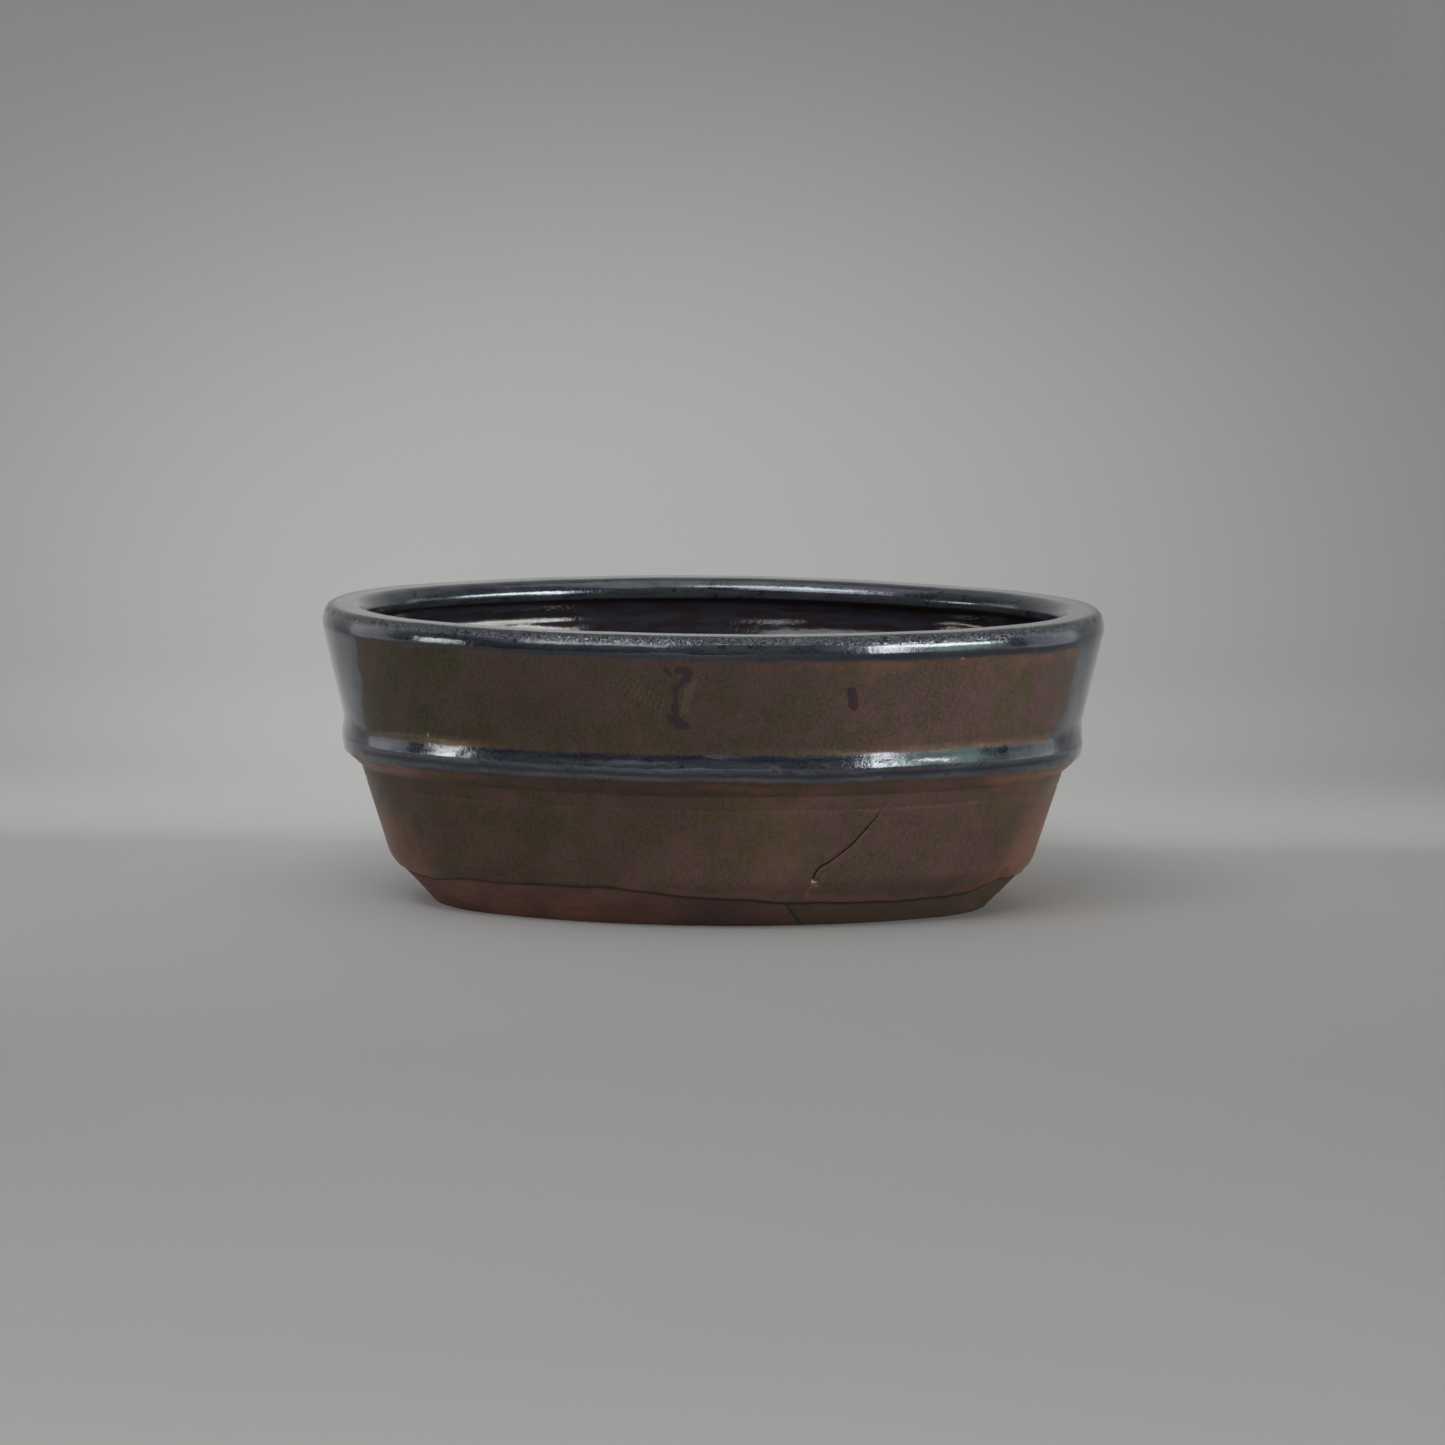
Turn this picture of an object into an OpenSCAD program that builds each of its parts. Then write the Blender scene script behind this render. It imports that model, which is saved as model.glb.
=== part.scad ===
// Oval glazed bonsai pot: six clay pieces luted together and fired, with a
// plastic screen over each drain hole and the wire clip that holds it down.
// X runs along the oval, Y across it, Z up. The origin is on the table, under
// the pot's middle. Lengths are in millimetres.

/* [Overall] */
// Length over the rim
pot_w = 205; // [170:1:260]
// Depth over the rim
pot_d = 154; // [128:1:190]
// Height from the table to the top of the rim
pot_h = 78; // [64:1:110]

/* [Wall] */
// Wall thickness, measured level
wall_t = 7; // [5:0.5:8.5]
// How far the foot stands in from the rim's outer edge, all round
base_inset = 30; // [24:0.5:36]
// How far the shoulder above the foot stands in from the rim's outer edge
shoulder_inset = 18.2; // [14:0.1:21]
// Height of that shoulder
shoulder_z = 12.3; // [10:0.1:20]
// Radius that rounds the shoulder
shoulder_r = 8; // [3:0.5:12]
// How far the wall stands in from the rim's outer edge under the belt
ledge_inset = 11; // [8.5:0.1:13]
// How far the wall stands in from the rim's outer edge just above the belt
waist_inset = 6; // [4:0.1:7.5]
// How far the wall stands in from the rim's outer edge under the rim
brim_inset = 0.2; // [0:0.1:2]
// Radius of the bend inside the waist
waist_r = 12; // [2:1:20]
// Radius of the cove between wall and floor, inside
cove_r = 7; // [3:0.5:7]

/* [Rim] */
// Width of the lip, level
rim_w = 11; // [9:0.5:14]
// Height of the lip
rim_h = 5; // [4:0.5:8]
// Radius on the lip's outer top edge
rim_outer_r = 2; // [0.5:0.1:2.4]
// Radius on the lip's two inner edges
rim_inner_r = 1.5; // [0.5:0.1:1.8]

/* [Belt] */
// Height of the belt's lower edge
belt_z = 35; // [28:0.5:40]
// Height of the belt from lower edge to waist
belt_h = 13.5; // [11:0.5:18]
// How far the belt's crest stands out past the waist
belt_proud = 0.6; // [0.3:0.1:3]
// Height of the crest above the belt's lower edge
belt_crest = 8; // [6:0.5:9]
// Height of the belt's bevelled underside
belt_bevel = 4; // [3:0.5:5]
// Radius that rounds the crest
belt_r = 3; // [1:0.5:4]
// Radius on the belt's lower edge
belt_edge_r = 0.6; // [0.2:0.1:1]

/* [Foot and floor] */
// Height of the foot ring
foot_h = 4; // [3.2:0.1:6]
// Width of the foot ring where it meets the table
foot_w = 10; // [8:0.5:12]
// Radius on the foot ring's lower edges
foot_r = 0.8; // [0.2:0.1:1.5]
// Thickness of the floor
floor_t = 7; // [5:0.5:9]
// How far the floor reaches over the foot ring
floor_lap = 7.5; // [5:0.5:8]

/* [Drainage] */
// Diameter of each drain hole
drain_d = 22; // [18:0.5:26]
// Place of each drain hole, as a share of the way out to the foot ring
drain_place = 0.544; // [0.5:0.002:0.6]
// Diameter of each tie-wire hole
tie_d = 4; // [3:0.5:5]
// Distance between the tie-wire holes, along the pot
tie_spacing_x = 40; // [30:1:44]
// Place of the tie-wire holes, as a share of the way from the screen to the foot ring
tie_place = 0.4; // [0.35:0.01:0.5]

/* [Screens and clips] */
// Distance from one bar of the screen to the next
mesh_pitch = 3.4; // [3.2:0.1:4.1]
// Width of each bar
mesh_bar = 1; // [0.8:0.1:1.2]
// Thickness of the screen
mesh_t = 1.5; // [1:0.1:2.5]
// Openings along the screen, an even number
mesh_cols = 10; // [8:2:10]
// Openings across the screen, an odd number
mesh_rows = 9; // [9:2:9]
// Diameter of the clip's wire
clip_wire = 1.5; // [1:0.1:1.6]
// Radius of each loop of the clip
clip_loop_r = 4; // [3:0.25:4.25]
// Length of each bent foot under the floor, from the leg's middle
clip_foot = 10; // [8:0.5:12]
// Gap between the wire and what it lies on
clip_gap = 0.05; // [0.02:0.01:0.2]

/* [Hidden] */
$fn = 128;

// The plan is a four-centre oval laid out on 3-4-5 triangles. The two end arcs
// and two side arcs meet in line on the triangles' long sides. Every level of
// the pot uses the same centres, so a wall keeps its thickness all round.
oval_unit = (pot_w - pot_d) / 4;
end_cx = 3 * oval_unit;
side_cy = 4 * oval_unit;
end_r = pot_d / 2 - oval_unit;
side_r = end_r + 5 * oval_unit;

// Levels
floor_top = foot_h + floor_t;
rim_z = pot_h - rim_h;
belt_top = belt_z + belt_h;
joint_z = belt_z + belt_h / 2;

// Insets from the rim's outer edge: the outer wall line from shoulder to ledge,
// which carries on behind the belt, the bevel of the foot, and the floor's edge.
wall_slope = (shoulder_inset - ledge_inset) / (belt_z - shoulder_z);
function wall_inset(z) = ledge_inset - wall_slope * (z - belt_z);
function foot_inset(z) = base_inset - (base_inset - shoulder_inset) * z / shoulder_z;
foot_inner_inset = base_inset + foot_w;
floor_edge_inset = foot_inner_inset - floor_lap;

// Screens, clips and the holes under them
drain_x = drain_place * (pot_w / 2 - foot_inner_inset);
mesh_open = mesh_pitch - mesh_bar;
mesh_w = mesh_cols * mesh_pitch + mesh_bar;
mesh_d = mesh_rows * mesh_pitch + mesh_bar;
mesh_top = floor_top + mesh_t;
tie_y = mesh_d / 2 + tie_place * (pot_d / 2 - foot_inner_inset - mesh_d / 2);
leg_room = 0.5;
leg_column = floor((drain_d / 2 - clip_wire / 2 - leg_room) / mesh_pitch - 0.5);
leg_x = (leg_column + 0.5) * mesh_pitch;
leg_bend_r = mesh_open / 2;
clip_top_z = mesh_top + clip_gap + clip_wire / 2;
clip_foot_z = foot_h - clip_gap - clip_wire / 2;
through = 1;
wire_fn = 32;

clay = "#6b4030";
bronze_glaze = "#4a3d34";
rim_glaze = "#59626a";
plastic = "#22262a";
aluminium = "#b9bcc0";

// One rounded corner b of an outline, between its neighbours a and c.
function unit(v) = v / norm(v);
function corner(a, b, c, r, steps = 6) =
    r <= 0 ? [b] :
    let (u = unit(a - b), v = unit(c - b), half = acos(u * v) / 2,
         centre = b + unit(u + v) * r / sin(half),
         from = b + u * r / tan(half) - centre,
         to = b + v * r / tan(half) - centre,
         sweep = 180 - 2 * half)
    [for (i = [0 : steps])
        centre + (sin(sweep * (1 - i / steps)) * from + sin(sweep * i / steps) * to) / sin(sweep)];

// An outline of [inset, z, corner radius] rows with its corners rounded.
function rounded(rows) =
    let (n = len(rows), at = function (i) [rows[i][0], rows[i][1]])
    [for (i = [0 : n - 1], p = corner(at((i + n - 1) % n), at(i), at((i + 1) % n), rows[i][2])) p];

// An outline of [inset from the rim's edge, z] points swept round the oval.
module round_oval(outline) {
    reach = pot_w / 4;
    module arc(radius, cx, cy, wedge)
        intersection() {
            translate([cx, cy, 0]) rotate_extrude()
                polygon([for (p = outline) [max(0, radius - p[0]), p[1]]]);
            translate([0, 0, -through]) linear_extrude(pot_h + 2 * through) polygon(wedge);
        }
    for (s = [-1, 1]) {
        arc(end_r, s * end_cx, 0, [[s * end_cx, 0],
            [s * (end_cx + 3 * reach), -4 * reach], [s * (end_cx + 3 * reach), 4 * reach]]);
        arc(side_r, 0, -s * side_cy, [[-end_cx, 0], [end_cx, 0],
            [end_cx + 3 * reach, s * 4 * reach], [-end_cx - 3 * reach, s * 4 * reach]]);
    }
}

// Unglazed ring that the pot stands on, bevelled outwards to the wall.
module foot_ring()
    color(clay) round_oval(rounded([
        [base_inset, 0, foot_r],
        [foot_inset(foot_h), foot_h, 0],
        [foot_inner_inset, foot_h, 0],
        [foot_inner_inset, 0, foot_r]]));

// Flat floor with two drain holes and four holes for tie wires.
module floor_slab()
    color(clay) difference() {
        round_oval([[floor_edge_inset, foot_h], [floor_edge_inset, floor_top],
                    [pot_w, floor_top], [pot_w, foot_h]]);
        for (x = [-1, 1])
            translate([x * drain_x, 0, foot_h - through])
                cylinder(d = drain_d, h = floor_t + 2 * through);
        for (x = [-1, 1], y = [-1, 1])
            translate([x * tie_spacing_x / 2, y * tie_y, foot_h - through])
                cylinder(d = tie_d, h = floor_t + 2 * through);
    }

// Wall from the foot to half way up behind the belt, with the cove inside.
module lower_wall()
    color(bronze_glaze) round_oval(rounded([
        [floor_edge_inset, foot_h, 0],
        [foot_inset(foot_h), foot_h, 0],
        [shoulder_inset, shoulder_z, shoulder_r],
        [wall_inset(joint_z), joint_z, 0],
        [wall_inset(joint_z) + wall_t, joint_z, 0],
        [wall_inset(floor_top) + wall_t, floor_top, cove_r],
        [floor_edge_inset, floor_top, 0]]));

// Strip of clay that hides the joint of the two walls.
module belt_band()
    color(rim_glaze) round_oval(rounded([
        [ledge_inset, belt_z, 0],
        [waist_inset + belt_proud / 3, belt_z + belt_bevel, belt_edge_r],
        [waist_inset - belt_proud, belt_z + belt_crest, belt_r],
        [waist_inset, belt_top, 0],
        [wall_inset(belt_top), belt_top, 0]]));

// Flared wall from behind the belt to the rim.
module upper_wall()
    color(bronze_glaze) round_oval(rounded([
        [wall_inset(joint_z), joint_z, 0],
        [wall_inset(belt_top), belt_top, 0],
        [waist_inset, belt_top, 0],
        [brim_inset, rim_z, 0],
        [brim_inset + wall_t, rim_z, 0],
        [waist_inset + wall_t, belt_top, waist_r],
        [wall_inset(joint_z) + wall_t, joint_z, 0]]));

// Thick flat-topped lip, turned in over the wall.
module rim_lip()
    color(rim_glaze) round_oval(rounded([
        [0, rim_z, 0],
        [0, pot_h, rim_outer_r],
        [rim_w, pot_h, rim_inner_r],
        [rim_w, rim_z, rim_inner_r]]));

// Square-grid plastic screen, cut to cover one drain hole.
module drain_mesh(side)
    color(plastic) translate([side * drain_x, 0, floor_top])
        linear_extrude(mesh_t) difference() {
            square([mesh_w, mesh_d], center = true);
            for (i = [0 : mesh_cols - 1], j = [0 : mesh_rows - 1])
                translate([(i - (mesh_cols - 1) / 2) * mesh_pitch, (j - (mesh_rows - 1) / 2) * mesh_pitch])
                    square(mesh_open, center = true);
        }

// A bend of the wire: an arc about Z that starts on the +X side.
module bend(r, angle)
    rotate_extrude(angle = angle) translate([r, 0]) circle(d = clip_wire, $fn = wire_fn);

// Butterfly clip: two loops on the screen, joined by a bar, and two legs that
// go down through it and the drain hole to feet bent out under the floor.
module mesh_clip(side)
    color(aluminium) translate([side * drain_x, 0, 0]) {
        foot_bend_r = clip_wire;
        leg_from = clip_foot_z + foot_bend_r;
        leg_to = clip_top_z - leg_bend_r;
        loop_x = leg_x + clip_loop_r;
        for (m = [0, 1]) mirror([m, 0, 0]) {
            translate([leg_x + foot_bend_r, 0, clip_foot_z]) rotate([0, 90, 0])
                cylinder(d = clip_wire, h = clip_foot - foot_bend_r, $fn = wire_fn);
            translate([leg_x + foot_bend_r, 0, leg_from]) rotate([90, 180, 0])
                bend(foot_bend_r, 90);
            translate([leg_x, 0, leg_from])
                cylinder(d = clip_wire, h = leg_to - leg_from, $fn = wire_fn);
            translate([leg_x, leg_bend_r, leg_to]) rotate([90, 0, -90])
                bend(leg_bend_r, 90);
            translate([loop_x, leg_bend_r, clip_top_z]) rotate([0, 0, -90])
                bend(clip_loop_r, 270);
        }
        translate([-loop_x, leg_bend_r - clip_loop_r, clip_top_z]) rotate([0, 90, 0])
            cylinder(d = clip_wire, h = 2 * loop_x, $fn = wire_fn);
    }

foot_ring();
floor_slab();
lower_wall();
belt_band();
upper_wall();
rim_lip();
drain_mesh(-1);  // drain_mesh_left
drain_mesh(1);  // drain_mesh_right
mesh_clip(-1);  // mesh_clip_left
mesh_clip(1);  // mesh_clip_right
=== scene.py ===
# An oval bonsai pot of stoneware under a bronze iron glaze: a foot ring, a floor, a lower
# and an upper wall with a belt of clay over their joint, and a flat-topped lip, luted together
# and fired, with a plastic screen and a bent wire clip over each drain hole.
# X runs along the oval, Y across it, Z up. Profiles are in millimetres and meshes in metres.
import math
import bmesh
import bpy
import numpy as np
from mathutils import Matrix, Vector
from mathutils.geometry import delaunay_2d_cdt


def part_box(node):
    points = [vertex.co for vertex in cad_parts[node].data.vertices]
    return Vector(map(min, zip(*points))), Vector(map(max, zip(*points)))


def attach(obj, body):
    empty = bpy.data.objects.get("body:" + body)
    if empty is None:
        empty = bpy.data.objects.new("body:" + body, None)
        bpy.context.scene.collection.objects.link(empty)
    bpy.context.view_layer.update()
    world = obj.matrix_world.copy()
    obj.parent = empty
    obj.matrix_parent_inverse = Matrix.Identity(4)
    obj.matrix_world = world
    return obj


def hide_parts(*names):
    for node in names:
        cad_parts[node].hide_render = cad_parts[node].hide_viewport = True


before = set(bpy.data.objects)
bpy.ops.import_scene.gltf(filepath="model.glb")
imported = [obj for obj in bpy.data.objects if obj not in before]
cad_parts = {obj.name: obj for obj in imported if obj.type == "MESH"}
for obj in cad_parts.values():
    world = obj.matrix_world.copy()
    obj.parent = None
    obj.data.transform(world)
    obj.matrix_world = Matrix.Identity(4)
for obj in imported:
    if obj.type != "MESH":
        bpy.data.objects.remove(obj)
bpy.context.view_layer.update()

# ---------------------------------------------------------------- foot ring
# The ring the pot stands on, a coil of red stoneware pressed on under the floor, trimmed to a
# bevel and left bare, with its lower edges rubbed round. The glaze has run down and stained it.
MM = 0.001
lip_low, lip_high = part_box("rim_lip")
pot_long = (lip_high.x - lip_low.x) / MM
pot_deep = (lip_high.y - lip_low.y) / MM
# The plan is laid out with four arcs on 3-4-5 triangles, so a wall keeps its thickness.
plan_unit = (pot_long - pot_deep) / 4
ARC_MEETS = 0.6

# How far apart the clay's columns stand along the front and along the back.
FRONT_STEP = 0.45
BACK_STEP = 0.8


def arc_of(facing):
    """Centre and radius of the plan's arc that faces that way, in radians from the +X end."""
    across = np.cos(facing)
    end = np.abs(across) >= ARC_MEETS
    cx = np.where(end, np.sign(across) * 3 * plan_unit, 0)
    cy = np.where(end, 0, -np.sign(np.sin(facing)) * 4 * plan_unit)
    radius = np.where(end, pot_deep / 2 - plan_unit, pot_deep / 2 + 4 * plan_unit)
    return cx, cy, radius


def space_columns():
    """The directions that the clay's columns face, closer together on the front of the pot."""
    fine = np.linspace(0, 2 * np.pi, 40001)
    back = 0.5 + 0.5 * np.tanh(np.sin(fine) * 6)
    step = FRONT_STEP + (BACK_STEP - FRONT_STEP) * back
    columns_passed = np.cumsum(arc_of(fine[:-1])[2] / step[:-1] * (fine[1] - fine[0]))
    columns_passed = np.concatenate([[0], columns_passed])
    count = int(columns_passed[-1])
    return np.interp(np.arange(count) * columns_passed[-1] / count, columns_passed, fine)


facings = space_columns()


def swell(gap, spread):
    """1 where the gap is nothing, falling smoothly away within about the spread."""
    return np.exp(-(gap / spread) ** 2)


def lattice(points, size, seed):
    """Smooth random values from -1 to 1 at the points, with features about `size` across."""
    p = points / size
    cell = np.floor(p).astype(np.int64)
    f = p - cell
    f = f * f * (3 - 2 * f)
    total = np.zeros(len(p))
    for corner in range(8):
        step = np.array([corner & 1, corner >> 1 & 1, corner >> 2 & 1])
        mixed = (cell + step) @ np.array([73856093, 19349663, 83492791]) + seed * 2654435761
        mixed = (mixed ^ (mixed >> 13)) * 1274126177
        value = ((mixed ^ (mixed >> 16)) & 0xFFFF) / 0x7FFF - 1.0
        total += np.prod(np.where(step, f, 1 - f), axis=1) * value
    return total


def ease(value, low, high):
    """0 below low, 1 above high, and a smooth rise between."""
    t = np.clip((value - low) / (high - low), 0, 1)
    return t * t * (3 - 2 * t)


def skin(rows, step):
    """Points (inset, height) along a profile of [inset, height, corner radius] rows."""
    rows = [np.array(r, float) for r in rows]
    line = [rows[0][:2]]
    for before, here, after in zip(rows[:-2], rows[1:-1], rows[2:]):
        corner, radius = here[:2], here[2]
        back = before[:2] - corner
        ahead = after[:2] - corner
        back /= np.linalg.norm(back)
        ahead /= np.linalg.norm(ahead)
        half = math.acos(np.clip(back @ ahead, -1, 1)) / 2
        if radius <= 0:
            line.append(corner)
            continue
        middle = corner + (back + ahead) / np.linalg.norm(back + ahead) * radius / math.sin(half)
        start = corner + back * radius / math.tan(half) - middle
        stop = corner + ahead * radius / math.tan(half) - middle
        sweep = math.pi - 2 * half
        for t in np.linspace(0, 1, 13):
            swung = math.sin(sweep * (1 - t)) * start + math.sin(sweep * t) * stop
            line.append(middle + swung / math.sin(sweep))
    line.append(rows[-1][:2])
    line = np.array(line)
    run = np.concatenate([[0], np.cumsum(np.linalg.norm(np.diff(line, axis=0), axis=1))])
    count = max(2, int(round(run[-1] / step)) + 1)
    at = np.linspace(0, run[-1], count)
    return np.stack([np.interp(at, run, line[:, 0]), np.interp(at, run, line[:, 1])], 1)


def make_mesh(name, points, faces, smooth):
    """An object from points in millimetres and quads or triangles, shaded smooth where asked."""
    mesh = bpy.data.meshes.new(name)
    mesh.from_pydata((points * MM).tolist(), [], [list(f) for f in faces])
    mesh.polygons.foreach_set("use_smooth", np.asarray(smooth, bool))
    mesh.update()
    made = bpy.data.objects.new(name, mesh)
    bpy.context.scene.collection.objects.link(made)
    return made


def hand_shape(place):
    """How far the hand left the clay out from its drawn line, and up from it."""
    out = 0.28 * lattice(place, 62, 11) + 0.10 * lattice(place, 23, 12)
    rise = 0.22 * lattice(place * [1, 1, 0.3], 70, 13) * np.clip(place[:, 2] / 40, 0, 1)
    return out * ease(place[:, 2], -1, 6), rise


# The glaze stops short of the foot in a wavy line: (degrees round the pot from the middle of
# the front, height), and beyond it the clay is bare.
glaze_stops = [(-180, 9.0), (-160, 7.6), (-139, 8.4), (-118, 6.9), (-101, 8.3), (-88, 9.4),
               (-72, 9.7), (-52, 9.2), (-40, 10.1), (-18, 10.9), (-13, 10.8), (-4, 9.3), (3, 8.3),
               (9, 7.0), (16, 6.8), (23, 6.6), (30, 6.3), (44, 7.2), (58, 10.0), (80, 9.3),
               (101, 7.4), (122, 8.8), (143, 6.7), (161, 8.2), (180, 9.0)]


def glaze_line(around, place):
    """Height at which the glaze stops, at so many degrees round the pot."""
    stops = np.array(glaze_stops)
    plan = place * [1, 1, 0]
    height = np.interp(around, stops[:, 0], stops[:, 1])
    return height + 0.35 * lattice(plan, 9, 21) + 0.12 * lattice(plan, 3, 22)


def near_strokes(along, height, strokes):
    """Distance from a set of strokes [x, z, x, z, half width], less than 0 inside them."""
    nearest = np.full(len(along), 99.0)
    for x0, z0, x1, z1, half in strokes:
        run = np.array([x1 - x0, z1 - z0])
        t = ((along - x0) * run[0] + (height - z0) * run[1]) / max(run @ run, 1e-9)
        t = np.clip(t, 0, 1)
        gap = np.hypot(along - x0 - t * run[0], height - z0 - t * run[1]) - half
        nearest = np.minimum(nearest, gap)
    return nearest


def coil(name, skins, backs, relief, marks):
    """A closed ring of clay swept round the oval. Each skin shows, and is joined to the next by
    a back, the points hidden inside the pot. relief(spot) says how far the surface stands out
    along its normal, and marks(spot) gives the values that the finish reads at each point."""
    outline, normals, belongs = [], [], []
    for number, (face, back) in enumerate(zip(skins, backs)):
        tangent = np.gradient(face, axis=0)
        tangent /= np.linalg.norm(tangent, axis=1)[:, None]
        outline.append(face)
        normals.append(np.stack([tangent[:, 1], tangent[:, 0]], 1))
        belongs += [number] * len(face)
        if len(back):
            outline.append(np.array(back, float))
            normals.append(np.zeros((len(back), 2)))
            belongs += [-1] * len(back)
    outline = np.concatenate(outline)
    normals = np.concatenate(normals)
    belongs = np.array(belongs)
    rows, columns = len(outline), len(facings)
    cx, cy, radius = [np.repeat(a, rows) for a in arc_of(facings)]
    turn = np.repeat(facings, rows)
    inset = np.tile(outline[:, 0], columns)
    height = np.tile(outline[:, 1], columns)
    out_n = np.tile(normals[:, 0], columns)
    up_n = np.tile(normals[:, 1], columns)
    place = np.stack([cx + (radius - inset) * np.cos(turn), cy + (radius - inset) * np.sin(turn),
                      height], 1)
    around = (np.degrees(turn) - 90) % 360 - 180
    spot = {"place": place, "around": around, "x": place[:, 0], "z": height, "inset": inset,
            "up": up_n, "outer": (out_n > 0.02) & (inset < 31),
            "front": np.sin(turn) < -0.05}
    out, rise = hand_shape(place)
    proud = relief(spot) * (out_n ** 2 + up_n ** 2 > 0)
    inset = inset - out - proud * out_n
    moved = np.stack([cx + (radius - inset) * np.cos(turn), cy + (radius - inset) * np.sin(turn),
                      height + rise + proud * up_n], 1)
    col = np.arange(columns)[:, None]
    row = np.arange(rows)[None, :]
    col2 = (col + 1) % columns
    row2 = (row + 1) % rows
    faces = np.stack([col * rows + row, col2 * rows + row, col2 * rows + row2,
                      col * rows + row2], -1)
    on_skin = (belongs == np.roll(belongs, -1)) & (belongs >= 0)
    on_skin[-1] = False
    ends = on_skin != np.roll(on_skin, 1)
    made = make_mesh(name, moved, faces.reshape(-1, 4), np.tile(on_skin, columns))
    joined = np.zeros(len(made.data.edges) * 2, np.int64)
    made.data.edges.foreach_get("vertices", joined)
    joined = joined.reshape(-1, 2) % rows
    seam = (joined[:, 0] == joined[:, 1]) & ends[joined[:, 0]]
    made.data.attributes.new("sharp_edge", "BOOLEAN", "EDGE").data.foreach_set("value", seam)
    for key, value in marks(spot).items():
        store = made.data.attributes.new(key, "FLOAT", "POINT")
        store.data.foreach_set("value", value.astype(np.float32))
    return made


def clay_relief(spot):
    """Bare clay: a dragged, slightly lumpy surface."""
    place = spot["place"]
    return 0.05 * lattice(place, 7, 31) + 0.03 * lattice(place * [1, 1, 3], 2.4, 32)


# The edge of a wash of glaze that ran over the foot at the right, as strokes down the front.
wash_outline = [(18.4, 7.6, 19.6, 6.2, 0), (19.6, 6.2, 21, 4.2, 0), (21, 4.2, 23.6, 0, 0)]
FAR_OFF = 9.0


def clay_marks(spot):
    """The bare clay's stains, where a wash of glaze ran over it and that wash's edge, and a darkening
    across the middle of the front and in patches.
    """
    x, z, place, around = spot["x"], spot["z"], spot["place"], spot["around"]
    washed = ease(x + 0.45 * (z - 4), 20.0, 21.5)
    washed *= ease(around + 12 * lattice(place, 11, 34), 122, 98) * (around > 0)
    darkening = 0.9 * swell(x - 3, 26) * spot["front"] + 0.5 * lattice(place, 21, 33)
    return {"washed": washed, "darkening": np.clip(darkening, 0, 1),
            "wash_edge": np.where(spot["front"], near_strokes(x, z, wash_outline), FAR_OFF)}


def node(tree, kind, sockets=None, **settings):
    """A shader node, with its settings made and its sockets joined or set."""
    made = tree.nodes.new("ShaderNode" + kind)
    for key, value in settings.items():
        setattr(made, key, value)
    for socket, source in (sockets or {}).items():
        if isinstance(source, bpy.types.NodeSocket):
            tree.links.new(source, made.inputs[socket])
        else:
            made.inputs[socket].default_value = source
    return made


def grain(tree, place, size, seed=0.0, stretch=(1, 1, 1), detail=3.0, rough=0.55):
    """Random values from 0 to 1 with features about `size` millimetres across."""
    moved = node(tree, "Mapping", {"Vector": place, "Location": (seed, seed * 0.7, seed * 0.3),
                                   "Scale": stretch}, vector_type="POINT")
    return node(tree, "TexNoise", {"Vector": moved.outputs["Vector"], "Scale": 1 / (size * MM),
                                   "Detail": detail, "Roughness": rough}).outputs["Fac"]


def rises(tree, value, low, high):
    """0 below low, 1 above high, and a smooth rise between."""
    return node(tree, "MapRange", {"Value": value, "From Min": low, "From Max": high},
                interpolation_type="SMOOTHSTEP").outputs["Result"]


def sums(tree, kind, first, second):
    """One sum on two values."""
    return node(tree, "Math", {0: first, 1: second}, operation=kind).outputs[0]


def blend(tree, amount, first, second):
    """One colour laid over another."""
    made = node(tree, "Mix", {0: amount}, data_type="RGBA")
    for socket, source in ((6, first), (7, second)):
        if isinstance(source, bpy.types.NodeSocket):
            tree.links.new(source, made.inputs[socket])
        else:
            made.inputs[socket].default_value = (*source, 1)
    return made.outputs[2]


def lay(tree, colour, where, strength, over):
    """A colour with so much of another one laid over it where a value says."""
    return blend(tree, sums(tree, "MULTIPLY", where, strength), colour, over)


def mark(tree, name):
    """A value that a piece's points carry."""
    return node(tree, "Attribute", attribute_name=name).outputs["Fac"]


def new_finish(name):
    """An empty material with a principled shader, its node tree, shader and place on the pot."""
    made = bpy.data.materials.new(name)
    made.use_nodes = True
    tree = made.node_tree
    shader = tree.nodes["Principled BSDF"]
    place = node(tree, "TexCoord").outputs["Object"]
    return made, tree, shader, place


BRICK_RED = (0.165, 0.068, 0.046)
BURNT_RED = (0.098, 0.042, 0.032)


def clay_colour(tree, place):
    """Fired red stoneware: brick brown, burnt darker in patches, with fine sand in it, darker again
    across the middle of the front and in places, and washed over with glaze in places."""
    burnt = rises(tree, grain(tree, place, 14, 2.0, detail=4), 0.35, 0.68)
    colour = blend(tree, burnt, BRICK_RED, BURNT_RED)
    drag = rises(tree, grain(tree, place, 5, 3.0, (1, 1, 5), detail=4), 0.5, 0.75)
    colour = lay(tree, colour, drag, 0.6, (0.190, 0.098, 0.064))
    colour = lay(tree, colour, mark(tree, "darkening"), 0.75, (0.040, 0.022, 0.022))
    sand = rises(tree, grain(tree, place, 0.5, 4.0, detail=1), 0.62, 0.72)
    colour = lay(tree, colour, sand, 0.7, (0.030, 0.017, 0.014))
    patchy = rises(tree, grain(tree, place, 6, 7.0), 0.2, 0.5)
    washed = sums(tree, "MULTIPLY", mark(tree, "washed"), patchy)
    colour = lay(tree, colour, washed, 0.85, (0.058, 0.041, 0.024))
    wash_edge = rises(tree, mark(tree, "wash_edge"), 0.75, 0.15)
    return lay(tree, colour, wash_edge, 0.75, (0.018, 0.013, 0.012))


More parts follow.
